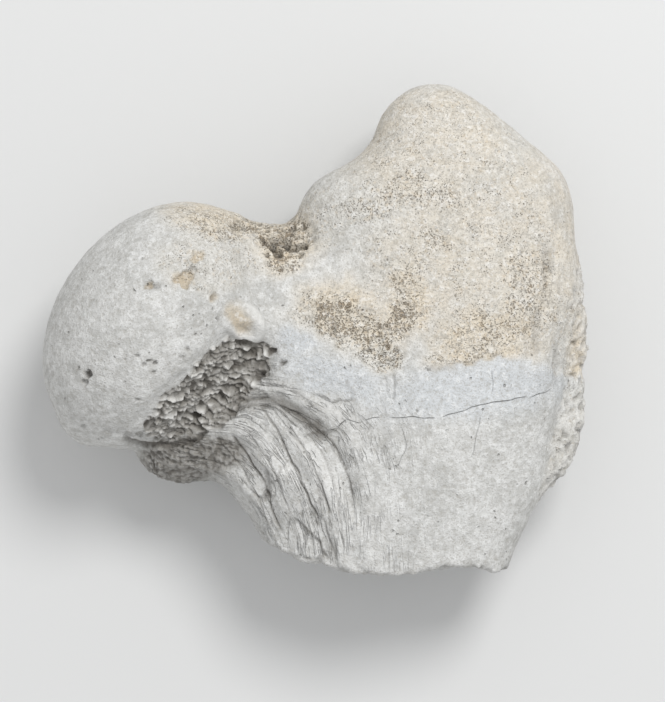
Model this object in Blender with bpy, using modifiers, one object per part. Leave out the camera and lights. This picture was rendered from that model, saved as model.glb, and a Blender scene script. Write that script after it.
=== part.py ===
"""The hip end of a fossil oreodont thigh bone (left femur), lying on its back face.

Sizes are in millimetres and the scene is in metres. +X runs from the head to the greater
trochanter, +Y from the broken shaft to the trochanter's summit, and +Z up from the table.
"""

import math

import bmesh
import bpy
import numpy as np
from mathutils import Matrix, Vector, noise

MM = 0.001
NODE = "femur_hip_end"

# Dull, stony bone.
BONE_COLOUR = (0.60, 0.57, 0.51, 1.0)
BONE_ROUGHNESS = 0.9

# The head is a flattened ball that caps the neck, cut off square along its lower rim.
HEAD_CENTRE = (-14.4, 0.45, 11.6)
HEAD_HALF_SIZES = (12.3, 9.1, 11.8)
HEAD_TURN = math.radians(54)
RIM_TURN = math.radians(39)
RIM_OFFSET = 5.4
RIM_HEIGHT = 21.2
RIM_TILT = math.radians(28)

# Swellings of the head, as centre, half sizes and turn.
LOWER_SWELLING = ((-20.1, -6.3, 11.2), (3.6, 4.45, 5.6), 0.0)
NECK_SHOULDER = ((-8.0, 5.9, 11.9), (4.6, 5.0, 5.7), 0.0)
RIM_LIP = ((-6.3, 1.2, 15.8), (3.0, 1.9, 3.9), math.radians(-44))

# Oval sections of the shaft and greater trochanter: y, left x, right x, bottom z, top z.
BODY_SECTIONS = (
    (-27.0, -0.2, 16.6, 3.6, 17.2),
    (-22.6, -2.0, 17.7, 3.2, 17.6),
    (-20.4, -4.0, 18.4, 2.9, 17.9),
    (-18.1, -5.5, 19.4, 2.7, 18.2),
    (-15.9, -7.0, 20.6, 2.5, 18.6),
    (-13.7, -8.3, 21.2, 2.4, 18.9),
    (-11.0, -7.2, 21.7, 2.2, 19.2),
    (-8.0, -4.6, 22.4, 2.0, 19.3),
    (-4.5, -2.6, 23.2, 1.8, 19.2),
    (0.0, -1.2, 24.2, 1.6, 18.9),
    (4.0, -1.3, 24.9, 1.4, 18.6),
    (8.0, -1.9, 24.1, 1.4, 18.3),
    (11.2, -1.4, 24.0, 1.6, 17.9),
    (13.7, 0.0, 23.4, 1.9, 17.4),
    (15.2, 3.0, 22.3, 2.3, 16.9),
    (17.2, 5.4, 20.0, 2.9, 16.3),
    (19.4, 5.9, 17.3, 3.8, 15.5),
    (21.2, 7.4, 14.8, 5.0, 14.6),
    (22.6, 9.5, 12.7, 6.8, 12.9),
)
BODY_SQUARENESS = 2.4

# Oval sections of the neck: x, lower y, upper y, bottom z, top z.
NECK_SECTIONS = (
    (-16.3, -12.0, -7.0, 6.6, 11.4),
    (-15.1, -13.3, -3.0, 5.4, 13.4),
    (-12.6, -13.9, 4.0, 4.6, 15.2),
    (-9.0, -13.8, 9.2, 4.2, 16.8),
    (-5.0, -14.2, 10.2, 3.8, 17.8),
    (-1.0, -15.0, 9.4, 3.2, 18.3),
    (4.0, -15.4, 10.2, 2.6, 18.8),
)
NECK_SQUARENESS = 2.4
RING_POINTS = 48
STEPS_BETWEEN = 4

# Ridges and knobs of the back face. A row of a ridge is x, y, z, radius.
TROCHANTER_CREST = (
    (11.4, 18.4, 6.0, 3.2),
    (15.4, 13.6, 5.0, 4.6),
    (18.2, 7.0, 4.7, 5.0),
    (18.8, 0.0, 5.0, 4.8),
    (17.6, -6.0, 5.6, 3.9),
    (15.6, -11.0, 6.4, 3.0),
)
CROSS_CREST = (
    (15.0, 2.0, 5.0, 4.2),
    (10.5, -5.0, 4.6, 3.9),
    (4.5, -9.8, 4.4, 3.7),
    (-1.2, -13.0, 4.2, 3.6),
)
LESSER_TROCHANTER = ((-2.8, -14.0, 4.7), (4.2, 4.6, 5.5), 0.0)

# The pit behind the neck, and the trough worn along the head's rim.
FOSSA = ((4.8, 8.2, 0.6), (8.2, 3.7, 5.6), math.radians(-47))
RIM_TROUGH = (
    (-17.0, -10.6, 12.6, 1.0),
    (-14.9, -9.7, 15.0, 1.9),
    (-12.0, -8.6, 17.1, 2.5),
    (-8.9, -6.6, 18.5, 2.9),
    (-6.2, -4.2, 19.1, 2.8),
    (-4.4, -1.8, 19.6, 2.2),
)

# The rough crest down the outer side of the shaft.
OUTER_CREST = (
    (23.4, 6.5, 10.5, 0.9),
    (23.2, 3.6, 10.3, 1.6),
    (23.1, 0.2, 10.1, 2.35),
    (22.7, -4.0, 10.0, 2.2),
    (22.6, -7.5, 10.0, 2.35),
    (21.9, -10.4, 10.0, 2.3),
    (21.0, -12.7, 10.1, 2.1),
    (19.9, -14.6, 10.3, 1.6),
    (19.0, -16.4, 10.6, 0.9),
)

# The shell worn off beside the rim, and a fold of the neck's fibres, as x, y, radius from above.
WORN_BAND = (
    (-14.4, -8.8, 1.2),
    (-12.3, -7.7, 2.1),
    (-10.6, -6.8, 2.6),
    (-9.1, -5.6, 2.75),
    (-7.8, -4.1, 2.6),
    (-6.4, -2.7, 2.4),
    (-5.2, -1.9, 1.5),
)
WORN_DEPTH = 0.55
NECK_FOLD = (
    (-7.1, -7.4, 0.7),
    (-5.9, -6.7, 0.9),
    (-4.7, -6.3, 1.0),
    (-3.4, -6.6, 0.9),
    (-2.3, -7.2, 0.8),
    (-0.9, -8.2, 0.7),
    (0.2, -9.0, 0.6),
    (1.5, -10.0, 0.5),
    (2.6, -12.0, 0.4),
    (3.2, -13.9, 0.3),
    (3.5, -16.6, 0.1),
)
FOLD_DEPTH = 0.6
NECK_GROOVES = (
    (
        (-5.2, -6.6, 0.1),
        (-3.4, -8.9, 0.2),
        (-2.5, -11.1, 0.2),
        (-1.6, -12.6, 0.2),
        (-0.6, -15.0, 0.2),
        (0.5, -17.7, 0.1),
    ),
    (
        (-7.6, -8.9, 0.1),
        (-5.5, -12.3, 0.2),
        (-4.7, -13.4, 0.2),
        (-3.8, -16.5, 0.1),
        (-2.8, -18.6, 0.1),
    ),
)
GROOVE_DEPTH = 0.45
HOLLOW_DEPTH = 0.45
HOLLOW_SPACING = 1.15

# Worn bone: grains and flutes this deep, by this far apart.
GRAIN_DEPTH = 0.55
GRAIN_SPACING = 1.9
FLUTE_DEPTH = 0.8
FLUTE_SPACING = 1.0
FLUTE_PIVOT = (-11.9, -23.9)

# The edge where the shaft broke, as x, y. The break leans back beneath it.
BREAK_EDGE = (
    (-14.0, -19.5),
    (-3.6, -20.2),
    (-2.2, -20.6),
    (-1.0, -21.8),
    (-0.4, -21.2),
    (1.0, -21.2),
    (1.6, -21.8),
    (3.2, -22.2),
    (8.3, -22.2),
    (11.6, -21.7),
    (12.6, -21.5),
    (15.0, -21.8),
    (17.3, -22.9),
    (28.0, -23.1),
)
BREAK_TOP = 18.0
BREAK_LEAN = 0.13
MARROW = ((7.7, -23.3, 10.3), (6.9, 3.9, 5.0), 0.0)

FUSE_VOXEL = 0.7
JOIN_VOXEL = 0.45
TRIANGLES = 10300


def metres(values):
    return Vector(values) * MM


def clear_scene():
    for obj in list(bpy.data.objects):
        bpy.data.objects.remove(obj, do_unlink=True)


def linked(data, name, collection):
    obj = bpy.data.objects.new(name, data)
    collection.objects.link(obj)
    return obj


def object_from(bm, name, collection):
    bmesh.ops.recalc_face_normals(bm, faces=bm.faces)
    mesh = bpy.data.meshes.new(name)
    bm.to_mesh(mesh)
    bm.free()
    return linked(mesh, name, collection)


def through(rows):
    """The rows of a table with smooth rows between them, as a Catmull-Rom spline passes its points."""
    rows = np.array(rows, float)
    ends = np.vstack([2 * rows[0] - rows[1], rows, 2 * rows[-1] - rows[-2]])
    made = []
    for a, b, c, d in zip(ends, ends[1:], ends[2:], ends[3:]):
        for t in np.arange(STEPS_BETWEEN) / STEPS_BETWEEN:
            square = 2 * a - 5 * b + 4 * c - d
            cube = 3 * b - a - 3 * c + d
            made.append(b + 0.5 * ((c - a) * t + square * t**2 + cube * t**3))
    return [*made, rows[-1]]


def power(value, squareness):
    return math.copysign(abs(value) ** (2 / squareness), value)


def loft(sections, along, squareness, name, collection):
    """A closed skin through oval sections that stand across the X or the Y axis."""
    bm = bmesh.new()
    rings = []
    for at, low, high, bottom, top in through(sections):
        ring = []
        for i in range(RING_POINTS):
            turn = 2 * math.pi * i / RING_POINTS
            side = (low + high) / 2 + (high - low) / 2 * power(math.cos(turn), squareness)
            up = (bottom + top) / 2 + (top - bottom) / 2 * power(math.sin(turn), squareness)
            ring.append(bm.verts.new(metres((side, at, up) if along == "Y" else (at, side, up))))
        rings.append(ring)
    for ring, following in zip(rings, rings[1:]):
        for i in range(RING_POINTS):
            j = (i + 1) % RING_POINTS
            bm.faces.new((ring[i], ring[j], following[j], following[i]))
    bm.faces.new(rings[0])
    bm.faces.new(rings[-1])
    return object_from(bm, name, collection)


def egg(centre, half_sizes, turn, name, collection):
    """An egg-round body, turned about the vertical."""
    bm = bmesh.new()
    bmesh.ops.create_icosphere(bm, subdivisions=5, radius=1)
    size = Matrix.Diagonal((*metres(half_sizes), 1))
    place = Matrix.Translation(metres(centre)) @ Matrix.Rotation(turn, 4, "Z") @ size
    bmesh.ops.transform(bm, matrix=place, verts=bm.verts)
    return object_from(bm, name, collection)


def bar(points, name, collection):
    """A round bar along points given as x, y, z, radius."""
    curve = bpy.data.curves.new(name, "CURVE")
    curve.dimensions = "3D"
    curve.bevel_depth = MM
    curve.bevel_resolution = 4
    curve.use_fill_caps = True
    rows = through(points)
    spline = curve.splines.new("POLY")
    spline.points.add(len(rows) - 1)
    for point, (x, y, z, radius) in zip(spline.points, rows):
        point.co = (*metres((x, y, z)), 1)
        point.radius = radius
    return applied(linked(curve, name, collection))


def applied(obj):
    """The object as a plain welded mesh: modifiers applied, and a curve's caps joined to its sides."""
    graph = bpy.context.evaluated_depsgraph_get()
    mesh = bpy.data.meshes.new_from_object(obj.evaluated_get(graph))
    bm = bmesh.new()
    bm.from_mesh(mesh)
    bmesh.ops.remove_doubles(bm, verts=bm.verts, dist=0.01 * MM)
    bm.to_mesh(mesh)
    bm.free()
    name, collection = obj.name, obj.users_collection[0]
    bpy.data.objects.remove(obj, do_unlink=True)
    return linked(mesh, name, collection)


def sliced(obj, point, outward):
    """Cuts off what lies outward of a plane and closes the cuts."""
    bm = bmesh.new()
    bm.from_mesh(obj.data)
    cut = bmesh.ops.bisect_plane(
        bm,
        geom=[*bm.verts, *bm.edges, *bm.faces],
        plane_co=metres(point),
        plane_no=outward,
        clear_outer=True,
    )
    rim = [part for part in cut["geom_cut"] if isinstance(part, bmesh.types.BMEdge)]
    caps = bmesh.ops.holes_fill(bm, edges=rim)["faces"]
    bmesh.ops.triangulate(bm, faces=caps)
    bm.to_mesh(obj.data)
    bm.free()


def melted(pieces, voxel, rounds, name, collection):
    """The pieces melted into one skin, then relaxed so that the seams between them become fillets."""
    bm = bmesh.new()
    for piece in pieces:
        bm.from_mesh(piece.data)
        bpy.data.objects.remove(piece, do_unlink=True)
    mesh = bpy.data.meshes.new(name)
    bm.to_mesh(mesh)
    bm.free()
    obj = linked(mesh, name, collection)
    melt = obj.modifiers.new("Melt", "REMESH")
    melt.mode = "VOXEL"
    melt.voxel_size = voxel * MM
    relax = obj.modifiers.new("Relax", "SMOOTH")
    relax.factor = 0.5
    relax.iterations = rounds
    return applied(obj)


def cut_from(obj, cutter):
    """The object less the cutter."""
    cut = obj.modifiers.new("Cut", "BOOLEAN")
    cut.operation = "DIFFERENCE"
    cut.solver = "EXACT"
    cut.object = cutter
    made = applied(obj)
    bpy.data.objects.remove(cutter, do_unlink=True)
    return made


def nearness(point, path):
    """1 on a path whose rows end in a radius, falling to 0 at that radius and a little beyond."""
    away = np.linalg.norm(path[:, :-1] - np.array(point), axis=1) / (path[:, -1] + 0.6)
    return max(0.0, 1.0 - away.min() ** 2)


def weathered(obj):
    """Pushes the skin in and out: the worn band and the fold, grains along them, flutes below."""
    trough, crest = np.array(through(RIM_TROUGH)), np.array(through(OUTER_CREST))
    band, fold = np.array(through(WORN_BAND)), np.array(through(NECK_FOLD))
    grooves = [np.array(through(path)) for path in NECK_GROOVES]
    for vert in obj.data.vertices:
        x, y, z = vert.co / MM
        grain = noise.noise(Vector((x, y, z)) / GRAIN_SPACING + Vector((3.0, 7.0, 1.0)))
        rough = min(1.0, 2.0 * max(nearness((x, y, z), trough), nearness((x, y, z), crest)))
        depth = GRAIN_DEPTH * rough * grain
        across, along = x - FLUTE_PIVOT[0], y - FLUTE_PIVOT[1]
        reach, turn = math.hypot(across, along), math.atan2(max(along, 0.0), across)
        from_rim = math.sin(RIM_TURN) * (x - HEAD_CENTRE[0]) - math.cos(RIM_TURN) * (y - HEAD_CENTRE[1])
        fan = min(1.0, (from_rim - RIM_OFFSET - 5.0) / 2.0, (21.0 - reach) / 5.0, (z - 8.0) / 3.0)
        flute = noise.noise(Vector((reach / FLUTE_SPACING, 1.6 * turn, 4.0)))
        depth += FLUTE_DEPTH * max(0.0, fan) * flute
        if vert.normal.z > 0.1:
            worn = min(1.0, 2.5 * nearness((x, y), band))
            hollow = noise.noise(Vector((x - 0.2, y - 0.2, z)) / HOLLOW_SPACING + Vector((60.0, 60.0, 60.0)))
            hollow = min(1.0, max(0.0, (hollow - 0.18) / 0.3))
            depth -= (WORN_DEPTH + HOLLOW_DEPTH * hollow) * worn
            depth -= FOLD_DEPTH * min(1.0, 1.5 * nearness((x, y), fold))
            depth -= GROOVE_DEPTH * max(nearness((x, y), groove) for groove in grooves)
        vert.co += vert.normal * depth * MM


def fracture_block(collection):
    """A block whose upper face is the fracture through the shaft."""
    bm = bmesh.new()
    bmesh.ops.create_cube(bm, size=1)
    bmesh.ops.subdivide_edges(bm, edges=bm.edges, cuts=27, use_grid_fill=True)
    edge = np.array(BREAK_EDGE)
    for vert in bm.verts:
        x, z = 7.0 + 42.0 * vert.co.x, 10.0 + 26.0 * vert.co.z
        under = BREAK_TOP - z
        sway = 0.35 * under * noise.noise(Vector((0.15 * x, 0.3 * z, 5.0)))
        y = np.interp(x + sway, edge[:, 0], edge[:, 1]) + BREAK_LEAN * under
        y += 0.6 * noise.noise(Vector((0.5 * x, 0.0, 0.5 * z))) * min(1.0, abs(under) / 3.0)
        vert.co = metres((x, y if vert.co.y > 0 else -34.0, z))
    return object_from(bm, "Fracture", collection)


def main():
    clear_scene()
    collection = bpy.data.collections.new("Fossil thigh bone")
    bpy.context.scene.collection.children.link(collection)
    trunk = melted(
        [
            loft(BODY_SECTIONS, "Y", BODY_SQUARENESS, "Body", collection),
            loft(NECK_SECTIONS, "X", NECK_SQUARENESS, "Neck", collection),
            bar(TROCHANTER_CREST, "Trochanter crest", collection),
            bar(CROSS_CREST, "Cross crest", collection),
            egg(*LESSER_TROCHANTER, "Lesser trochanter", collection),
        ],
        FUSE_VOXEL,
        3,
        "Trunk",
        collection,
    )
    trunk = cut_from(trunk, egg(*FOSSA, "Fossa", collection))
    trunk = melted([trunk], FUSE_VOXEL, 6, "Trunk", collection)
    trunk = cut_from(trunk, bar(RIM_TROUGH, "Rim trough", collection))
    head = egg(HEAD_CENTRE, HEAD_HALF_SIZES, HEAD_TURN, "Head", collection)
    towards_neck = Vector((math.sin(RIM_TURN), -math.cos(RIM_TURN), 0))
    rim = Vector((*HEAD_CENTRE[:2], RIM_HEIGHT)) + towards_neck * RIM_OFFSET
    sliced(head, rim, towards_neck * math.cos(RIM_TILT) + Vector((0, 0, math.sin(RIM_TILT))))
    bone = melted(
        [
            trunk,
            head,
            egg(*LOWER_SWELLING, "Lower swelling", collection),
            egg(*NECK_SHOULDER, "Neck shoulder", collection),
            egg(*RIM_LIP, "Rim lip", collection),
            bar(OUTER_CREST, "Outer crest", collection),
        ],
        JOIN_VOXEL,
        4,
        "Whole bone",
        collection,
    )
    weathered(bone)
    thin = bone.modifiers.new("Thin", "DECIMATE")
    thin.ratio = TRIANGLES / (2 * len(bone.data.polygons))
    thin.use_collapse_triangulate = True
    bone = applied(bone)
    bone = cut_from(bone, fracture_block(collection))
    bone = cut_from(bone, egg(*MARROW, "Marrow", collection))

    # The bone rests on the head, the trochanter's crest and the lesser trochanter.
    sliced(bone, (0, 0, 0), Vector((0, 0, -1)))
    corners = np.array([vert.co for vert in bone.data.vertices])
    middle = (corners.min(axis=0) + corners.max(axis=0)) / 2
    bone.data.transform(Matrix.Translation((-middle[0], -middle[1], -corners[:, 2].min())))

    material = bpy.data.materials.new("Fossil bone")
    material.use_nodes = True
    shader = material.node_tree.nodes["Principled BSDF"]
    shader.inputs["Base Color"].default_value = BONE_COLOUR
    shader.inputs["Roughness"].default_value = BONE_ROUGHNESS
    shader.inputs["Metallic"].default_value = 0.0
    bone.data.materials.clear()
    bone.data.materials.append(material)
    bone.data.shade_smooth()
    bone.name = NODE
    bone.data.name = NODE


main()
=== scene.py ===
import math

import bmesh
import bpy
import numpy as np
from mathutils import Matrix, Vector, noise


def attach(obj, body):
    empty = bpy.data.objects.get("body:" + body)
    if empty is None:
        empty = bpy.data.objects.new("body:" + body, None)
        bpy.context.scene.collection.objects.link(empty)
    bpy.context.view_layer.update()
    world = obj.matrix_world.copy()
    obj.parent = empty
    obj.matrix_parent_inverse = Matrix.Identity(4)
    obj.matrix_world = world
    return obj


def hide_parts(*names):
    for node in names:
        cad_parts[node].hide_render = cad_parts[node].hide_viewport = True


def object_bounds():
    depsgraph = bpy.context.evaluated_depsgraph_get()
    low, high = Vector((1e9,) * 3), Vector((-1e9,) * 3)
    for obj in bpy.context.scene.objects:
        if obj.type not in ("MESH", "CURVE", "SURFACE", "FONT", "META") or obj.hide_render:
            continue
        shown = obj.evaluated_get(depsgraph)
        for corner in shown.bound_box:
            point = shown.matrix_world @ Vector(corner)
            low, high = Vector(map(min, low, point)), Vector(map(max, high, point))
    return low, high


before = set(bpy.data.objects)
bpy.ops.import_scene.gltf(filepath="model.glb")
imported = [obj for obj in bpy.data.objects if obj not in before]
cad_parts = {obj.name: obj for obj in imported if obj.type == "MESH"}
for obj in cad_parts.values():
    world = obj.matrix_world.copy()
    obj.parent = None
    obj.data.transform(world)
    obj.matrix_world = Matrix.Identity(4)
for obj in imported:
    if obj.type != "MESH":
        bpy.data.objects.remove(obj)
cad_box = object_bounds()

# The bone is one solid piece of thigh bone, long since turned to stone. Its skin follows the
# solid of the frame, rubbed smooth, and is drawn finer wherever the bone is worn or pitted.
mm = 0.001
skin_step = 0.47
rubs = 3
blank = bmesh.new()
blank.from_mesh(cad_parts["femur_hip_end"].data)
bmesh.ops.remove_doubles(blank, verts=blank.verts, dist=0.01 * mm)
bone = bpy.data.objects.new("Fossil_bone", bpy.data.meshes.new("Fossil_bone"))
bpy.context.scene.collection.objects.link(bone)
blank.to_mesh(bone.data)
blank.free()
even = bone.modifiers.new("Even skin", "REMESH")
even.mode = "VOXEL"
even.voxel_size = skin_step * mm
rub = bone.modifiers.new("Rub smooth", "SMOOTH")
rub.factor = 0.5
rub.iterations = rubs
graph = bpy.context.evaluated_depsgraph_get()
rubbed = bpy.data.meshes.new_from_object(bone.evaluated_get(graph))
bone.modifiers.clear()
bone.data = rubbed

# The camera hangs this far over a plane near the bone's middle height, in millimetres.
camera_away = 300.0
plane_height = 10.0
eye = np.array((1.4, -2.1, plane_height + camera_away))


def ease(value, start, end):
    """0 at start, 1 at end, with soft ends."""
    t = np.clip((value - start) / (end - start), 0.0, 1.0)
    return t * t * (3.0 - 2.0 * t)


def grain(points, size, place=0.0):
    """Smooth noise from -1 to 1 whose lumps are about this size in millimetres."""
    return np.array([noise.noise(p) for p in (points / size + place).tolist()])


def as_seen(points):
    """Where each point shows from straight above, on the plane at the bone's middle height."""
    return eye[:2] + (points[:, :2] - eye[:2]) * (camera_away / (eye[2] - points[:, 2]))[:, None]


def spots(at, rows, soft=0.35):
    """1 inside any of the rows' ovals (x, y, half width, half height, degrees), 0 outside."""
    cover = np.zeros(len(at))
    for x, y, wide, high, turn in rows:
        c, s = math.cos(math.radians(turn)), math.sin(math.radians(turn))
        across, up = at[:, 0] - x, at[:, 1] - y
        away = np.hypot((across * c + up * s) / wide, (up * c - across * s) / high)
        cover = np.maximum(cover, ease(away, 1.0 + soft, 1.0 - soft))
    return cover


# The head's rim has lost its cartilage shell, so the spongy bone shows as a worn band of little
# overlapping scales between the rim and the neck. It is outlined from the head's middle.
head = np.array((-14.6, 0.25))
across_rim = np.array((0.632, -0.776))
along_rim = np.array((0.776, 0.632))
rim_line = (
    (-7.4, -6.6, -3.8, 0.2, 1.6, 2.8, 4.2, 5.0, 5.7, 6.5, 7.1),
    (6.6, 6.0, 5.3, 4.95, 4.9, 4.7, 4.75, 5.6, 6.1, 7.1, 8.2),
)
neck_line = (
    (-7.4, -5.7, -4.1, -2.2, -0.6, 1.3, 3.4, 5.4, 6.5, 7.1),
    (6.8, 8.8, 9.8, 10.8, 11.0, 10.4, 10.2, 9.5, 8.6, 8.2),
)


def band(seen):
    """1 on the worn band, 0 off it."""
    along, across = (seen - head) @ along_rim, (seen - head) @ across_rim
    rim, neck = np.interp(along, *rim_line), np.interp(along, *neck_line)
    inside = ease(across, rim - 0.1, rim + 0.25) * ease(across, neck + 0.3, neck - 0.3)
    return inside * ease(np.abs(along), 7.4, 7.0)


def finer(chosen):
    """Splits the skin's chosen faces in four."""
    wanted = [face for face, take in zip(list(skin.faces), chosen) if take]
    edges = {edge for face in wanted for edge in face.edges}
    bmesh.ops.subdivide_edges(skin, edges=list(edges), cuts=1, use_grid_fill=True)
    skin.normal_update()


def middles():
    """Where the middle of each of the skin's faces is seen, and whether it faces upwards."""
    centres = np.array([face.calc_center_median() for face in skin.faces]) / mm
    return as_seen(centres), np.array([face.normal.z for face in skin.faces]) > -0.1


# Ovals where the skin is worn, cracked or pitted, and so is drawn finer.
rough_places = (
    (-4.5, -11.5, 11.0, 11.0, 0),
    (-9.5, -6.0, 8.5, 5.5, 39),
    (24.2, -4.5, 2.6, 12.5, 0),
    (3.4, 0.3, 5.2, 3.2, -25),
    (8.1, 2.1, 2.6, 3.6, 0),
    (15.0, -0.6, 4.4, 3.0, 10),
    (19.5, 4.0, 3.4, 6.0, 0),
    (-3.8, 8.5, 4.4, 3.6, 0),
    (-12.0, 4.6, 4.6, 3.2, 20),
    (-21.2, -4.6, 1.2, 1.5, 0),
    (-17.6, -9.8, 3.0, 1.2, 0),
    (-15.4, -3.4, 1.5, 1.4, 0),
    (-9.3, 1.9, 1.0, 1.8, 0),
    (-12.2, -2.3, 0.9, 0.9, 0),
    (6.6, -5.6, 1.4, 2.0, 0),
    (14.5, -7.0, 8.5, 1.3, 9),
    (16.1, -5.0, 0.9, 1.8, 0),
    (14.6, -10.0, 1.0, 2.6, 0),
    (7.8, -11.2, 1.1, 2.6, 0),
)
skin = bmesh.new()
skin.from_mesh(bone.data)
skin.normal_update()
at, upward = middles()
broken_end = np.array(
    [face.normal.y < -0.4 and face.calc_center_median().y < -17.0 * mm for face in skin.faces]
)
finer((spots(at, rough_places, 0.05) > 0.5) & upward | broken_end)
bmesh.ops.smooth_vert(
    skin, verts=skin.verts, factor=0.5, use_axis_x=True, use_axis_y=True, use_axis_z=True
)
at, upward = middles()
# The band, and the ovals below, are drawn finer again.
fine_places = (
    (-4.6, -10.6, 8.4, 4.4, -38),
    (-1.4, -16.6, 4.4, 6.0, 20),
    (-13.4, -11.0, 4.6, 1.8, 5),
    (3.4, 0.0, 4.4, 2.4, -25),
    (-3.0, 8.2, 2.6, 1.8, 0),
    (-21.2, -4.6, 0.9, 1.1, 0),
    (-12.2, 4.5, 1.7, 1.2, 20),
    (6.65, -5.6, 0.8, 1.5, 0),
    (2.2, -5.8, 2.2, 1.5, 0),
    (-15.4, -3.3, 1.3, 1.1, 0),
    (-17.5, -10.0, 2.0, 0.8, -5),
)
finer(((band(at) > 0.02) | (spots(at, fine_places, 0.05) > 0.5)) & upward)
skin.to_mesh(bone.data)
skin.free()

count = len(bone.data.vertices)
place = np.empty(count * 3, np.float32)
bone.data.vertices.foreach_get("co", place)
place = place.reshape(-1, 3).astype(float) / mm
out = np.empty(count * 3, np.float32)
bone.data.vertex_normals.foreach_get("vector", out)
out = out.reshape(-1, 3).astype(float)
seen = as_seen(place)
front = ease(out[:, 2], -0.25, 0.15)
lift = np.zeros(count)
dirt_and_shade = np.zeros(count)

ragged = np.stack([grain(place, 0.9), grain(place, 0.9, 40.0)], axis=1)
worn = band(seen + 0.45 * ragged) * front
sway = np.stack([grain(place, 1.4, 5.0), grain(place, 1.4, 15.0), grain(place, 1.4, 25.0)], axis=1)
bent = place + 0.75 * sway
scale_frame = np.array(((0.95, -0.28, 0.1), (0.25, 0.85, 0.45), (-0.2, -0.42, 0.88)))
scale_sizes = np.array((1.15, 0.55, 0.8))
cells = (bent @ scale_frame.T) / scale_sizes
scales = [noise.voronoi(p) for p in cells.tolist()]
nearest = np.array([s[1][0] for s in scales])
edge_gap = np.array([s[0][1] - s[0][0] for s in scales])
tilt = cells[:, 1] - nearest[:, 1]
stand = grain(nearest, 0.37, 45.0)
seam = ease(edge_gap, 0.22, 0.0)
hollow = ease(grain(place, 1.15, 60.0), 0.18, 0.5)
crumb = grain(place, 0.33, 70.0)
lumps = grain(place, 0.62, 75.0)
worn_height = 0.28 * stand - 0.38 * tilt - 0.12 * seam
worn_height += 0.16 * crumb + 0.13 * lumps - 0.45 * hollow
lift += worn * worn_height
# Where the band's scales sink they are darkened, partly dirt and partly painted shade; their high
# tips are lightened as painted highlight.
dirt_and_shade += worn * np.clip(0.5 - 1.9 * worn_height + 0.35 * hollow, 0.0, 1.0)
pale_and_highlight = worn * ease(worn_height, 0.05, 0.3)


# The neck and the shaft are built of long fibres, which fan out from under the head and run
# down the shaft. Each line below is followed by the fibres beside it. Weather has opened the
# grooves between them and split off a few flakes.
fibre_lines = (
    ((-15.4, -11.4), (-14.0, -13.4), (-10.8, -13.9), (-8.5, -15.0), (-6.2, -17.3))
    + ((-4.5, -19.9), (-2.5, -23.1)),
    ((-13.1, -10.3), (-10.3, -10.9), (-8.0, -11.6), (-6.2, -13.5), (-4.8, -16.2))
    + ((-3.1, -19.9), (-2.3, -23.1)),
    ((-10.8, -8.9), (-7.6, -8.9), (-5.1, -10.3), (-3.1, -12.6), (-1.6, -15.8))
    + ((-0.7, -19.0), (-0.1, -23.1)),
    ((-8.8, -8.2), (-6.6, -7.5), (-4.7, -8.2), (-3.0, -11.0), (-1.3, -14.6))
    + ((0.1, -18.3), (1.2, -23.1)),
    ((-8.2, -7.3), (-6.2, -6.6), (-3.7, -6.8), (-1.1, -8.4), (1.3, -10.4))
    + ((2.7, -13.5), (3.3, -16.7), (3.6, -23.1)),
    ((-5.1, -4.0), (-1.6, -4.4), (1.6, -6.1), (4.4, -9.3), (5.6, -13.0))
    + ((6.2, -17.6), (6.4, -23.1)),
    ((-1.6, -0.2), (2.6, -1.5), (6.2, -5.2), (7.9, -9.3), (8.5, -13.9), (8.7, -23.1)),
)


def beside(at, line):
    """How far left of a line each point is, below 0 to its right, and how far along the line."""
    nearest_gap, side, passed = np.full(len(at), 99.0), np.ones(len(at)), np.zeros(len(at))
    walked = 0.0
    for start, end in zip(np.array(line[:-1], float), np.array(line[1:], float)):
        span = np.linalg.norm(end - start)
        run = (end - start) / span
        step_in = (at - start) @ run
        gap = (at - start) @ np.array((-run[1], run[0]))
        along = np.clip(step_in, 0.0, span)
        away = np.hypot(gap, step_in - along)
        nearer = away < nearest_gap
        nearest_gap = np.where(nearer, away, nearest_gap)
        side = np.where(nearer, np.where(gap >= 0.0, 1.0, -1.0), side)
        passed = np.where(nearer, walked + along, passed)
        walked += span
    return nearest_gap * side, passed / walked


gaps = np.array([beside(seen, line)[0] for line in fibre_lines])
course = np.where(gaps[0] < 0.0, gaps[0] / 2.3, 0.0)
for i, (left, right) in enumerate(zip(gaps, gaps[1:])):
    between = (left >= 0.0) & (right < 0.0)
    course = np.where(between, i + left / np.maximum(left - right, 0.01), course)
course = np.where(gaps[-1] >= 0.0, len(gaps) - 1 + gaps[-1] / 2.3, course)
length = seen[:, 0] - seen[:, 1]
turned = front[:, None]
flow = np.stack([2.3 * course, 0.08 * length, 0.12 * place[:, 2]], axis=1) * turned
flow += np.stack([place[:, 0], 0.08 * place[:, 1], place[:, 2]], axis=1) * (1.0 - turned)
snapped = ease(out[:, 1], -0.3, -0.6) * ease(place[:, 1], -17.0, -19.0)
off_head = ease((seen - head) @ across_rim, 8.0, 9.4) * (1.0 - worn) * (1.0 - snapped)
fibre = ease(course, 6.5, 4.3) * front
fibre *= 1.0 - 0.7 * spots(seen, ((0.6, -4.0, 5.2, 2.3, -22),), 0.3)
fibre *= 1.0 - 0.45 * spots(seen, ((6.0, -18.0, 3.2, 5.5, 0),), 0.4)
fibre = np.maximum(fibre, 0.25 * ease(course, 9.5, 5.0) * ease(seen[:, 1], -4.0, -8.0) * front)
lengthwise = ease(np.abs(out[:, 1]), 0.75, 0.4) * (1.0 - front)
fibre = np.maximum(fibre, 0.7 * ease(place[:, 1], -7.0, -12.0) * lengthwise) * off_head
strand = grain(flow, 1.25) + 0.5 * grain(flow, 0.5, 9.0)
groove = ease(np.abs(grain(flow, 1.5, 21.0)), 0.06, 0.0) * ease(grain(place, 2.5, 33.0), -0.2, 0.2)
thin = ease(np.abs(grain(flow, 0.7, 27.0)), 0.09, 0.0) * ease(grain(place, 1.6, 37.0), -0.1, 0.25)
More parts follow.
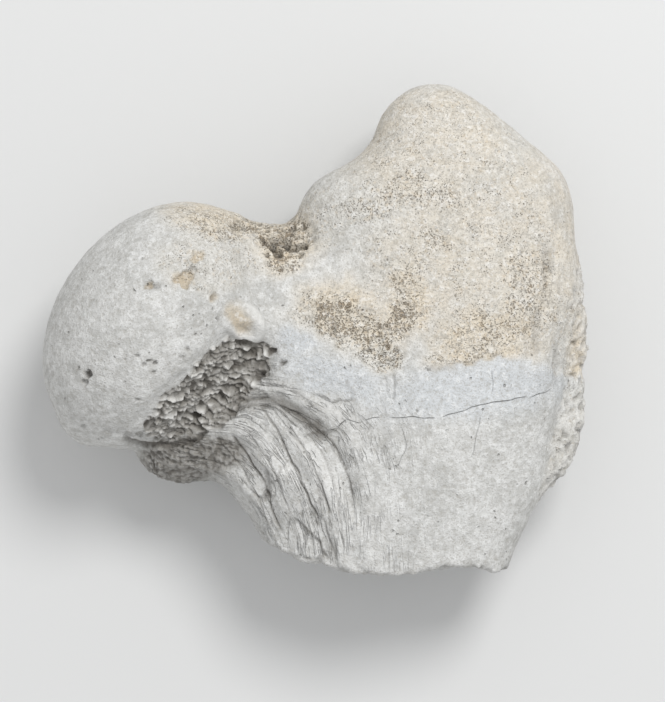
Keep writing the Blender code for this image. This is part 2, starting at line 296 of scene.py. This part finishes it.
lift += fibre * (0.11 * strand - 0.22 * groove - 0.12 * thin)
# The fibres are darkened in their grooves, partly dirt and partly painted shade, and lightened on
# raised strands as painted highlight.
dirt_and_shade += fibre * np.clip(0.5 * groove + 0.4 * thin - 0.1 * strand, 0.0, 0.8)
pale_and_highlight = np.maximum(pale_and_highlight, 0.4 * fibre * ease(strand, -0.1, 0.5) * ease(course, 0.6, 2.0))
# Painted shade darkens the fibres in the undercut below the head.
dirt_and_shade += 0.22 * spots(seen, ((-10.5, -11.6, 5.4, 2.6, -8),), 0.5) * front * (1.0 - worn)

# Each groove is a line, its half width, its depth and how dark it is.
grooves = (
    # The first groove is the wide recess below the band; its darkness is painted shade.
    (fibre_lines[4][:5], 1.15, 0.25, 0.8),
    (
        ((-3.7, -6.9), (-1.1, -8.5), (1.3, -10.4), (2.4, -12.4), (3.0, -14.4), (3.4, -17.3)),
        *(0.16, 0.2, 0.85),
    ),
    (
        ((-5.5, -6.9), (-3.7, -9.3), (-2.8, -11.5), (-1.9, -13.0), (-0.9, -15.5), (0.3, -18.3)),
        *(0.16, 0.2, 0.85),
    ),
    (((-8.0, -9.3), (-5.9, -12.7), (-5.0, -13.9), (-4.1, -17.0), (-3.1, -19.2)), 0.15, 0.16, 0.75),
    (((-6.8, -9.0), (-4.6, -11.9), (-3.5, -14.6), (-2.4, -17.0)), 0.12, 0.13, 0.6),
    (((-3.2, -7.8), (-1.9, -9.9), (-0.4, -12.6), (0.9, -16.0), (1.4, -19.5)), 0.12, 0.13, 0.6),
    (((-1.6, -8.9), (0.4, -11.2), (1.5, -14.0), (2.2, -18.0), (2.5, -21.0)), 0.12, 0.13, 0.6),
    (((-9.5, -9.9), (-7.2, -12.4), (-5.6, -15.2), (-4.4, -18.4)), 0.12, 0.13, 0.6),
    (((-2.5, -17.2), (-1.6, -17.9), (0.1, -19.5), (1.1, -21.4)), 0.16, 0.16, 0.4),
    (((-2.5, -17.2), (-2.9, -18.6), (-2.7, -19.8)), 0.16, 0.14, 0.4),
    (((6.3, -4.3), (6.4, -5.6), (6.75, -6.7)), 0.14, 0.1, 0.25),
    (((7.0, -4.0), (7.1, -5.4), (6.95, -6.9)), 0.2, 0.16, 0.4),
    # The last runs in the crevice between the head and the knob; its darkness is painted shade.
    (
        ((-18.2, -10.2), (-15.9, -10.75), (-13.6, -10.8), (-11.9, -10.4), (-9.8, -9.2)),
        *(0.4, 0.55, 0.8),
    ),
)
for line, wide, deep, dark in grooves:
    gap, passed = beside(seen + 0.12 * ragged, line)
    mask = ease(np.abs(gap), wide, 0.1 * wide) * ease(passed, 0.0, 0.12) * ease(passed, 1.0, 0.85)
    mask *= front * (1.0 - worn)
    lift -= deep * mask
    dirt_and_shade += dark * mask

# Each flake's edge is a line, the side on which the bone is lost, the depth and the width.
flakes = (
    (((-0.0, -5.9), (1.2, -6.6), (2.7, -6.8), (3.3, -5.9), (2.4, -4.5)), -1.0, 0.2, 1.6),
    (((-1.6, -10.0), (-0.5, -9.5), (0.4, -9.6), (1.4, -9.3), (2.7, -8.4)), -1.0, 0.16, 1.5),
    (((-4.6, -14.2), (-3.8, -14.0), (-2.6, -12.0)), -1.0, 0.15, 1.2),
    (((-2.5, -17.2), (-1.6, -17.9), (0.1, -19.5), (1.1, -21.4)), -1.0, 0.3, 2.4),
)
for line, side, deep, wide in flakes:
    gap, passed = beside(seen + 0.3 * ragged, line)
    beyond = ease(gap * side, 0.0, 0.2) * ease(gap * side, wide, 0.3)
    ends = ease(passed, 0.0, 0.1) * ease(passed, 1.0, 0.9) * front
    lift -= deep * beyond * ends
    # A dark line along each flake's edge is painted shadow.
    dirt_and_shade += 0.35 * ease(np.abs(gap), 0.2, 0.04) * ends

# The long hairline crack comes first, then the short ones beside it.
cracks = (
    ((0.4, -9.6), (1.4, -9.3), (2.7, -8.4), (3.9, -8.7), (5.1, -8.2), (6.7, -8.2), (8.5, -8.2))
    + ((11.3, -8.3), (15.0, -7.0), (19.6, -6.3), (22.3, -5.4)),
    ((16.1, -3.8), (16.2, -5.0), (16.1, -6.1)),
    ((15.0, -8.0), (14.7, -9.5), (14.2, -12.1)),
    ((7.8, -9.2), (8.2, -10.8), (7.2, -13.1)),
)
split, side_split = np.full(count, 1.5), np.full(count, 1.5)
split_here, side_here = np.zeros(count), np.zeros(count)
for i, line in enumerate(cracks):
    gap, passed = beside(seen + 0.13 * ragged, line)
    here = ease(np.abs(gap), 0.5, 0.3) * ease(passed, 0.0, 0.06) * ease(passed, 1.0, 0.9) * front
    if i == 0:
        split, split_here = gap, 0.55 * here
    else:
        side_split = np.where(np.abs(gap) < np.abs(side_split), gap, side_split)
        side_here = np.maximum(side_here, 0.2 * here)


# The outer crest, where the muscles held on, is pitted and ragged. So are the lower end's knob
# under the head and the notch between the neck and the trochanter.
crest_heights = (-16.5, -14.0, -11.5, -8.4, -5.0, -1.0, 8.0)
crest_edge = np.interp(seen[:, 1], crest_heights, (20.0, 20.6, 21.2, 22.0, 22.8, 23.3, 23.9))
crest = ease(seen[:, 0] + 0.45 * ragged[:, 0], crest_edge - 0.3, crest_edge + 0.4)
crest *= ease(seen[:, 1], -16.8, -15.2) * ease(seen[:, 1], 9.0, 5.0)
knob_rows = ((-12.8, -12.3, 4.0, 2.4, 10), (-9.4, -11.8, 2.6, 1.5, 20))
knob = spots(seen, knob_rows, 0.3) * (1.0 - worn) * front
notch = spots(seen, ((-3.0, 8.4, 2.6, 2.5, 0), (-5.8, 9.6, 2.5, 0.9, 0)), 0.3) * front
coarse = grain(place, 0.8, 80.0)
pitted = ease(grain(place, 0.6, 90.0), 0.1, 0.35)
ribs_run = np.stack([seen[:, 0], 0.18 * seen[:, 1], 0.5 * place[:, 2]], axis=1)
ribs = grain(ribs_run + 0.3 * sway, 0.8, 150.0)
ribbed = spots(seen, ((21.4, 2.5, 3.0, 10.0, 4),), 0.4) * front
lift += 0.3 * ribbed * ribs
dirt_and_shade += 0.3 * ribbed * ease(ribs, -0.1, -0.5)
lift += crest * (0.3 * coarse + 0.16 * crumb - 0.3 * pitted)
lift += knob * (0.16 * coarse + 0.2 * crumb - 0.12 * pitted)
lift += notch * (0.2 * coarse + 0.14 * crumb - 0.25 * pitted - 0.25)
crevice_rows = ((-3.3, 8.3, 1.1, 0.4, -25), (-2.1, 7.7, 0.8, 0.4, 10), (-4.0, 7.4, 0.6, 0.3, -50))
crevice = spots(seen + 0.3 * ragged, crevice_rows, 0.5) * front
lift -= 0.8 * crevice
# The notch's crevices are darkened as painted shade; the pits of the crest and the notch are
# darkened too.
dirt_and_shade += 0.7 * crevice + 0.5 * crest * pitted + 0.45 * notch * pitted
# The knob is darkened, partly for its rough grain and partly as painted shade under the head.
dirt_and_shade += knob * (0.4 + 0.5 * ease(crumb, 0.1, -0.3))

# The head is smooth where cartilage lined it, with a few pits knocked or dissolved out of it.
# A raised oval lip of dense bone ends the rim on the neck's side.
lift += 0.05 * grain(place, 2.4, 100.0) + 0.05 * grain(place, 0.9, 110.0)
dirt_and_shade += 0.055 * ease(np.hypot(*(seen - head).T), 11.5, 9.0) * (1.0 - worn)
# Each pit is an oval, its depth and how dark it is.
pits = (
    (-21.1, -4.2, 0.3, 0.45, -10, 0.6, 0.9),
    (-21.35, -5.0, 0.22, 0.3, 0, 0.3, 0.5),
    (-15.5, 3.9, 0.6, 0.34, 0, 0.42, 0.3),
    (-14.8, 3.9, 0.2, 0.2, 0, 0.3, 0.5),
    (-12.6, 4.5, 0.75, 0.42, 15, 0.45, 0.1),
    (-11.9, 4.8, 0.75, 0.5, 50, 0.45, 0.1),
    (-12.1, 4.0, 0.42, 0.35, 0, 0.45, 0.1),
    (-11.4, 5.5, 0.25, 0.25, 0, 0.3, 0.25),
    (-11.0, 6.6, 0.75, 0.4, 30, 0.28, 0.0),
    (-9.5, 2.8, 0.26, 0.22, 0, 0.3, 0.5),
    (-9.5, 1.8, 0.14, 0.14, 0, 0.25, 0.8),
    (-9.2, 0.9, 0.14, 0.14, 0, 0.25, 0.7),
    (-15.5, -3.0, 0.3, 0.14, 20, 0.25, 0.8),
    (-14.9, -3.2, 0.24, 0.13, 10, 0.25, 0.7),
    (-15.9, -3.3, 0.12, 0.14, 0, 0.2, 0.6),
    (-15.0, -4.1, 0.14, 0.14, 0, 0.2, 0.5),
    (-16.5, -2.5, 0.12, 0.12, 0, 0.2, 0.6),
    (-16.3, 0.5, 0.14, 0.12, 0, 0.2, 0.6),
    (-12.4, -2.6, 0.16, 0.14, 0, 0.2, 0.5),
    (-11.9, -1.9, 0.12, 0.16, 0, 0.2, 0.5),
    (-16.5, -6.6, 0.14, 0.1, 0, 0.2, 0.6),
    (-21.8, -3.6, 0.14, 0.12, 30, 0.2, 0.5),
    (-19.5, -6.5, 0.12, 0.1, 0, 0.2, 0.5),
    (-21.6, -9.1, 0.12, 0.12, 0, 0.2, 0.6),
    (-3.1, -3.2, 0.3, 0.28, 0, 0.5, 0.9),
    (-18.6, -9.5, 1.1, 0.35, -5, 0.3, 0.15),
    (-17.3, -9.8, 0.5, 0.25, 20, 0.3, 0.4),
    (-16.3, -9.7, 0.4, 0.3, 0, 0.3, 0.35),
)
chipped = seen + 0.22 * np.stack([grain(place, 0.5, 160.0), grain(place, 0.5, 170.0)], axis=1)
pit_depth = np.zeros(count)
for x, y, wide, high, turn, deep, dark in pits:
    pit = spots(chipped, ((x, y, wide, high, turn),), 0.22) * front
    pit_depth = np.maximum(pit_depth, deep * pit)
    dirt_and_shade = np.maximum(dirt_and_shade, dark * pit)
lift -= pit_depth
silt_rows = ((-12.2, 4.5, 1.3, 0.9, 20), (-11.0, 6.6, 0.8, 0.45, 30), (-15.5, 3.9, 0.5, 0.3, 0))
silt = spots(chipped, silt_rows, 0.2) * ease(pit_depth, 0.1, 0.25)
thin_silt_rows = ((-7.2, 0.8, 1.5, 0.75, -42), (-9.5, 2.8, 0.4, 0.35, 0))
silt = np.maximum(silt, 0.8 * spots(chipped, thin_silt_rows, 0.4))
lip = spots(seen, ((-6.95, 0.75, 2.5, 1.6, -42),), 0.16)
lip_floor = spots(seen, ((-7.3, 0.95, 1.75, 0.95, -42),), 0.25)
lip_side = ease(seen @ np.array((0.8, -0.6)), -7.6, -5.6)
lip_ring = np.clip(lip - lip_floor, 0.0, 1.0) * lip_side * front
lift += 0.38 * lip_ring
# The raised ring is lightened, partly as pale dense bone and partly as painted highlight.
pale_and_highlight = np.maximum(pale_and_highlight, 0.8 * lip_ring)

# The shaft snapped across. Its thick dense wall broke rough, and the marrow space inside it is
# filled with little cells.
from_marrow = np.hypot((place[:, 0] - 8.0) / 9.4, (place[:, 2] - 10.3) / 7.6)
spongy_end = snapped * ease(from_marrow + 0.08 * sway[:, 0], 0.84, 0.7)
cell_walls = np.array([noise.voronoi(p)[0][0] for p in ((place + 0.3 * sway) / 0.95).tolist()])
cell = ease(cell_walls, 0.55, 0.15)
lift += snapped * (0.2 * coarse + 0.12 * crumb) - spongy_end * (0.5 * cell + 0.25)
dirt_and_shade += snapped * (0.12 + 0.3 * ease(coarse, 0.1, -0.4)) + 0.6 * spongy_end * cell

# Where tendons and joint capsule were fixed, the shell is thin and the pores show through,
# filled with tan silt. Just below them the shaft's skin is dense and bluish.
# The ovals of each area: most porous, porous, faintly porous, tan, pinkish and bluish.
strong_rows = (
    (3.2, 0.2, 4.3, 2.2, -25),
    (5.8, -2.4, 1.9, 2.0, 0),
    (7.6, 1.2, 1.3, 2.6, 0),
    (-2.9, 7.8, 2.2, 2.5, 0),
)
porous_rows = (
    (8.3, 3.2, 1.9, 3.2, 0),
    (-0.9, 1.2, 2.6, 1.2, 0),
    (1.2, 2.4, 3.6, 1.3, -15),
    (8.3, 5.5, 1.9, 1.4, 0),
    (10.9, 8.1, 1.7, 1.2, 0),
    (15.2, -0.8, 4.6, 3.2, 5),
    (11.9, -3.0, 1.8, 0.8, 0),
    (19.5, 3.5, 3.2, 5.5, 0),
    (4.4, 11.1, 4.2, 1.6, 10),
    (9.2, 12.7, 4.8, 1.7, 0),
    (-9.4, 9.4, 5.0, 1.9, -10),
)
faint_rows = (
    (-9.8, 6.1, 5.0, 3.0, 0),
    (22.3, -0.2, 1.8, 5.5, 0),
    (13.5, 6.0, 11.0, 8.5, 0),
    (10.5, 15.0, 10.0, 8.0, 0),
    (1.0, 10.5, 3.0, 3.0, 0),
)
tan_rows = (
    (15.4, -1.0, 5.2, 3.4, 5),
    (8.1, 2.1, 2.8, 3.4, 0),
    (-2.9, 8.1, 2.9, 2.8, 0),
    (-8.5, 10.1, 5.1, 1.5, -10),
    (24.0, -6.6, 1.1, 8.3, 0),
    (3.0, 1.5, 4.8, 2.6, -20),
    (-7.1, 0.9, 1.3, 0.8, -42),
    (-12.2, 4.4, 0.9, 0.8, 0),
    (-11.0, 6.6, 0.8, 0.5, 0),
)
pink_rows = ((14.0, 5.8, 8.5, 7.0, 0), (20.5, 8.4, 4.4, 8.6, 0), (10.4, 17.0, 7.5, 5.6, 0))
blue_rows = ((14.6, -5.6, 9.0, 2.6, 6), (1.5, -4.6, 5.0, 1.8, -20), (-1.9, -1.2, 2.0, 1.2, 0))
drift = np.stack([grain(place, 1.8, 120.0), grain(place, 1.8, 130.0)], axis=1)
wander = seen + 0.8 * drift + 0.25 * ragged
behind = ease(out[:, 2], -0.1, -0.4) * ease(grain(place, 6.0, 140.0), -0.15, 0.25)
behind *= ease(place[:, 1], -12.0, -6.0)
strong = spots(wander, strong_rows, 0.25) * front
porous = np.maximum(spots(wander, porous_rows, 0.5) * 0.75, 0.52 * spots(wander, faint_rows, 0.25))
tan_edge_x = (9.0, 11.3, 14.5, 16.8, 20.5, 22.3)
edge_y = np.interp(seen[:, 0], tan_edge_x, (-3.6, -3.9, -3.1, -2.7, -3.1, -4.4))
above_edge = ease(seen[:, 1] + 0.5 * ragged[:, 1], edge_y - 0.1, edge_y + 0.15)
above_edge = np.where(seen[:, 0] > 9.5, above_edge, 1.0)
porous = np.maximum(porous, strong) * front * above_edge
porous = np.maximum(porous, 0.7 * behind * ease(place[:, 0], -6.0, -3.0))
porous = np.maximum(porous, np.maximum(0.45 * crest, notch))
# The crest's raised lumps are lightened, partly as pale bone and partly as painted highlight.
pale_and_highlight = np.maximum(pale_and_highlight, 0.5 * crest * ease(coarse, -0.1, 0.3))
tan = np.maximum(spots(wander, tan_rows, 0.5), 0.55 * spots(wander, pink_rows, 0.3)) * front
tan = np.maximum(tan * above_edge, 0.6 * behind)
blue = spots(wander, blue_rows, 0.5) * front * (1.0 - tan)
lift -= 0.14 * above_edge * front * ease(seen[:, 0], 9.0, 10.5) * ease(seen[:, 1], 3.0, -2.0)
# A dark line along the step at the tan patch's lower edge is painted shadow.
edge_shade = ease(np.abs(seen[:, 1] + 0.5 * ragged[:, 1] - edge_y - 0.15), 0.35, 0.08)
dirt_and_shade += 0.3 * edge_shade * front * ease(seen[:, 0], 9.5, 10.5) * ease(seen[:, 0], 19.0, 16.0)
lift -= porous * (0.07 * ease(coarse, -0.1, 0.5) + 0.05 * ease(crumb, 0.0, 0.4))
lift -= 0.2 * strong * pitted
dirt_and_shade += 0.15 * strong * pitted

place += out * lift[:, None]
low, high = (np.array(corner) / mm for corner in cad_box)
place = np.clip(place, low, high)
bone.data.vertices.foreach_set("co", (place * mm).astype(np.float32).ravel())
bone.data.shade_smooth()
for name, values in (
    ("porous", porous),
    ("tan", tan),
    ("blue", blue),
    ("silt", silt * front),
    ("fibre", fibre),
    # The knob takes part of the worn band's brown, partly as painted shade under the head.
    ("worn", np.maximum(worn, 0.6 * knob)),
    ("dirt_and_shade", np.clip(dirt_and_shade, 0.0, 1.0)),
    ("pale_and_highlight", np.clip(pale_and_highlight, 0.0, 1.0)),
    ("split", split),
    ("split here", split_here),
    ("side split", side_split),
    ("side split here", side_here),
):
    layer = bone.data.attributes.new(name, "FLOAT", "POINT")
    layer.data.foreach_set("value", values.astype(np.float32))
layer = bone.data.attributes.new("flow", "FLOAT_VECTOR", "POINT")
layer.data.foreach_set("vector", (flow * mm).astype(np.float32).ravel())
bone.data.update()


# The bone's stone: warm pale grey, mottled with white, tan where silt fills the pores, and dark
# down in the pits, grooves and hairline cracks, with painted shade in its hollows and under the
# head and painted highlights on its raised parts. It is matt all over.
stone = bpy.data.materials.new("Fossil bone")
stone.use_nodes = True
tree = stone.node_tree
shader = tree.nodes["Principled BSDF"]


def node(kind, **settings):
    made = tree.nodes.new(kind)
    for key, value in settings.items():
        setattr(made, key, value)
    return made


def wire(source, target):
    tree.links.new(source, target)


def mark(name):
    """The value painted on the skin under this name."""
    return node("ShaderNodeAttribute", attribute_name=name).outputs["Fac"]


def sums(kind, first, second=0.0):
    made = node("ShaderNodeMath", operation=kind)
    for socket, value in zip(made.inputs, (first, second)):
        if isinstance(value, (int, float)):
            socket.default_value = value
        else:
            wire(value, socket)
    return made.outputs[0]


def step(value, low_end, high_end):
    """0 at the low end, 1 at the high end."""
    made = node("ShaderNodeMapRange", clamp=True)
    wire(value, made.inputs["Value"])
    made.inputs["From Min"].default_value = low_end
    made.inputs["From Max"].default_value = high_end
    return made.outputs["Result"]


def tint(under, over, amount):
    """Lays one colour over another."""
    made = node("ShaderNodeMix", data_type="RGBA")
    wire(amount, made.inputs["Factor"])
    for socket, value in ((made.inputs[6], under), (made.inputs[7], over)):
        if isinstance(value, tuple):
            socket.default_value = (*value, 1.0)
        else:
            wire(value, socket)
    return made.outputs[2]


def speckle(vector, size, detail=2.0):
    made = node("ShaderNodeTexNoise")
    wire(vector, made.inputs["Vector"])
    made.inputs["Scale"].default_value = 1000.0 / size
    made.inputs["Detail"].default_value = detail
    made.inputs["Roughness"].default_value = 0.6
    return made.outputs["Fac"]


where = node("ShaderNodeTexCoord").outputs["Object"]
along_flow = node("ShaderNodeAttribute", attribute_name="flow").outputs["Vector"]
# Thin dark threads run along the fibres, in patches.
threads = sums("ABSOLUTE", sums("SUBTRACT", speckle(along_flow, 0.55, 3.0), 0.5))
threads = sums("MULTIPLY", step(threads, 0.035, 0.008), step(speckle(where, 2.0, 2.0), 0.36, 0.6))
fine = speckle(where, 0.16, 2.0)
cloud = speckle(where, 3.5, 3.0)
fleck = speckle(where, 0.45, 4.0)
warp = node("ShaderNodeTexNoise")
wire(where, warp.inputs["Vector"])
warp.inputs["Scale"].default_value = 1000.0 / 0.5
shift = node("ShaderNodeVectorMath", operation="MULTIPLY_ADD")
wire(warp.outputs["Color"], shift.inputs[0])
shift.inputs[1].default_value = (0.45 * mm, 0.45 * mm, 0.45 * mm)
wire(where, shift.inputs[2])
clump = speckle(where, 1.3, 3.0)
patch = speckle(where, 1.0, 4.0)


def cells_of(size, most, rim):
    """Little holes this far apart, wider where the skin is marked porous, and in clumps."""
    made = node("ShaderNodeTexVoronoi")
    wire(shift.outputs["Vector"], made.inputs["Vector"])
    made.inputs["Scale"].default_value = 1000.0 / size
    width = sums("ADD", sums("MULTIPLY", mark("porous"), most), sums("MULTIPLY", clump, 0.7))
    width = sums("SUBTRACT", width, 0.44)
    return step(sums("SUBTRACT", width, made.outputs["Distance"]), -rim, rim)


# Pores of three sizes open where the skin is marked porous, with a tan stain round them.
pore = sums("MAXIMUM", cells_of(0.36, 0.3, 0.07), sums("MULTIPLY", cells_of(0.2, 0.4, 0.09), 0.85))
wide_pore = sums("MULTIPLY", cells_of(0.6, 0.24, 0.06), step(mark("porous"), 0.75, 0.95))
pore = sums("MAXIMUM", pore, wide_pore)
stain = sums("MULTIPLY", cells_of(0.5, 0.52, 0.2), step(mark("porous"), 0.1, 0.5))
wrinkle = step(sums("ABSOLUTE", sums("SUBTRACT", speckle(where, 1.1, 4.0), 0.5)), 0.012, 0.003)
wrinkle = sums("MULTIPLY", wrinkle, step(mark("porous"), 0.3, 0.8))
pore = sums("MAXIMUM", pore, sums("MULTIPLY", wrinkle, 0.3))
pore = sums("MULTIPLY", pore, step(mark("porous"), -0.5, 0.9))
# A few pinholes dot the dense skin.
pinholes = node("ShaderNodeTexVoronoi")
wire(shift.outputs["Vector"], pinholes.inputs["Vector"])
pinholes.inputs["Scale"].default_value = 1000.0 / 0.8
pinhole = step(pinholes.outputs["Distance"], 0.17, 0.08)
pinhole = sums("MULTIPLY", pinhole, step(speckle(where, 2.6, 3.0), 0.54, 0.62))
pinhole = sums("MULTIPLY", pinhole, step(mark("porous"), 0.5, 0.2))
# The cracks are drawn where the painted distance to them is nearly nought.
hairline = step(sums("ABSOLUTE", mark("split")), 0.05, 0.012)
hairline = sums("MULTIPLY", hairline, step(speckle(where, 1.2, 2.0), 0.4, 0.58))
hairline = sums("MULTIPLY", hairline, mark("split here"))
side_line = step(sums("ABSOLUTE", mark("side split")), 0.05, 0.012)
side_line = sums("MULTIPLY", side_line, mark("side split here"))
hairline = sums("MAXIMUM", hairline, side_line)
thread = sums("MULTIPLY", threads, mark("fibre"))
tan_area = sums("MULTIPLY", mark("tan"), step(speckle(where, 1.8, 4.0), 0.2, 0.65))
grit = sums("MULTIPLY", step(speckle(where, 0.3, 3.0), 0.47, 0.34), mark("tan"))

# The colours are laid on in turn, from the bone's own to the dirt and painted shade in its
# hollows, then the painted highlights on its raised parts and the dark cracks.
grey_bone = (0.53, 0.528, 0.508)
pale_bone = (0.63, 0.627, 0.607)
chalk = (0.72, 0.72, 0.70)
dull = (0.41, 0.405, 0.38)
bluish = (0.565, 0.59, 0.61)
tan_silt = (0.66, 0.57, 0.44)
cream = (0.70, 0.65, 0.55)
stain_brown = (0.56, 0.45, 0.31)
grit_brown = (0.40, 0.32, 0.215)
pit_silt = (0.54, 0.46, 0.345)
white_fleck = (0.84, 0.84, 0.825)
dark_fleck = (0.34, 0.32, 0.28)
dark_grain = (0.36, 0.34, 0.30)
dark_thread = (0.30, 0.295, 0.28)
worn_and_shade_brown = (0.44, 0.405, 0.35)
pore_brown = (0.21, 0.15, 0.09)
pinhole_dark = (0.16, 0.145, 0.12)
dirt_and_shade_dark = (0.10, 0.088, 0.072)
pale_and_highlight_tone = (0.78, 0.77, 0.74)
crack_dark = (0.07, 0.065, 0.06)
colour = tint(grey_bone, pale_bone, step(cloud, 0.38, 0.62))
colour = tint(colour, chalk, sums("MULTIPLY", step(patch, 0.52, 0.62), 0.55))
colour = tint(colour, dull, sums("MULTIPLY", step(patch, 0.48, 0.38), 0.4))
colour = tint(colour, bluish, sums("MULTIPLY", mark("blue"), 0.7))
colour = tint(colour, tan_silt, tan_area)
colour = tint(colour, cream, sums("MULTIPLY", mark("porous"), 0.5))
colour = tint(colour, stain_brown, sums("MULTIPLY", stain, 0.45))
colour = tint(colour, grit_brown, sums("MULTIPLY", grit, 0.45))
colour = tint(colour, pit_silt, sums("MULTIPLY", mark("silt"), 0.85))
colour = tint(colour, white_fleck, sums("MULTIPLY", step(fleck, 0.53, 0.65), 0.42))
colour = tint(colour, dark_fleck, sums("MULTIPLY", step(fleck, 0.45, 0.33), 0.4))
colour = tint(colour, dark_grain, sums("MULTIPLY", step(fine, 0.48, 0.35), 0.5))
colour = tint(colour, dark_thread, sums("MULTIPLY", thread, 0.44))
# The worn band is tinted brown, and the knob too, partly as painted shade.
colour = tint(colour, worn_and_shade_brown, sums("MULTIPLY", mark("worn"), 0.35))
colour = tint(colour, pore_brown, sums("MULTIPLY", pore, 0.65))
colour = tint(colour, pinhole_dark, sums("MULTIPLY", pinhole, 0.5))
# Dirt, and painted shade in the hollows and under the head, darken the stone.
colour = tint(colour, dirt_and_shade_dark, sums("MULTIPLY", mark("dirt_and_shade"), 0.8))
# Pale bone, and painted highlights on raised tips, strands, the lip and the crest.
colour = tint(colour, pale_and_highlight_tone, sums("MULTIPLY", mark("pale_and_highlight"), 0.7))
colour = tint(colour, crack_dark, sums("MULTIPLY", hairline, 0.8))
wire(colour, shader.inputs["Base Color"])
shader.inputs["Roughness"].default_value = 0.88
shader.inputs["Specular IOR Level"].default_value = 0.3

# The same marks also roughen the skin, to this depth in millimetres.
height = sums("MULTIPLY", fine, 0.5)
height = sums("ADD", height, sums("MULTIPLY", fleck, 1.0))
height = sums("SUBTRACT", sums("SUBTRACT", height, pore), pinhole)
height = sums("SUBTRACT", height, sums("MULTIPLY", hairline, 1.5))
height = sums("SUBTRACT", height, sums("MULTIPLY", thread, 0.9))
bump_depth = 0.17
bump = node("ShaderNodeBump")
wire(height, bump.inputs["Height"])
bump.inputs["Distance"].default_value = bump_depth * mm
bump.inputs["Strength"].default_value = 1.0
wire(bump.outputs["Normal"], shader.inputs["Normal"])
bone.data.materials.clear()
bone.data.materials.append(stone)
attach(bone, "root")
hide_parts("femur_hip_end")

# A plain pale table under the bone.
table = bmesh.new()
bmesh.ops.create_grid(table, x_segments=1, y_segments=1, size=1.0)
floor = bpy.data.objects.new("Floor", bpy.data.meshes.new("Floor"))
bpy.context.scene.collection.objects.link(floor)
table.to_mesh(floor.data)
table.free()
paper = bpy.data.materials.new("Pale paper")
paper.use_nodes = True
paper_shader = paper.node_tree.nodes["Principled BSDF"]
paper_shader.inputs["Base Color"].default_value = (0.66, 0.66, 0.65, 1.0)
paper_shader.inputs["Roughness"].default_value = 0.9
floor.data.materials.append(paper)

# Soft studio light: a wide lamp over the trochanter's side and an even glow all round.
scene = bpy.context.scene
scene.world = bpy.data.worlds.new("Studio")
scene.world.use_nodes = True
glow = scene.world.node_tree.nodes["Background"]
glow.inputs["Color"].default_value = (0.97, 0.98, 1.0, 1.0)
glow.inputs["Strength"].default_value = 0.74
lamp = bpy.data.lights.new("Lamp", "AREA")
lamp.shape = "DISK"
lamp.size = 0.16
lamp.energy = 1.15
lamp_stand = bpy.data.objects.new("Lamp", lamp)
scene.collection.objects.link(lamp_stand)
lamp_stand.location = (0.12, 0.2, 0.38)
lamp_stand.rotation_euler = (math.radians(-27), math.radians(17), 0)
scene.view_settings.view_transform = "Standard"

# The camera looks straight down on the bone's front face.
picture_height = 64.52
sensor_height = 24.0
camera = bpy.data.cameras.new("Camera")
camera.sensor_fit = "VERTICAL"
camera.sensor_height = sensor_height
camera.lens = sensor_height * camera_away / picture_height
camera.clip_start = 0.01
watcher = bpy.data.objects.new("Camera", camera)
scene.collection.objects.link(watcher)
watcher.location = eye * mm
scene.camera = watcher
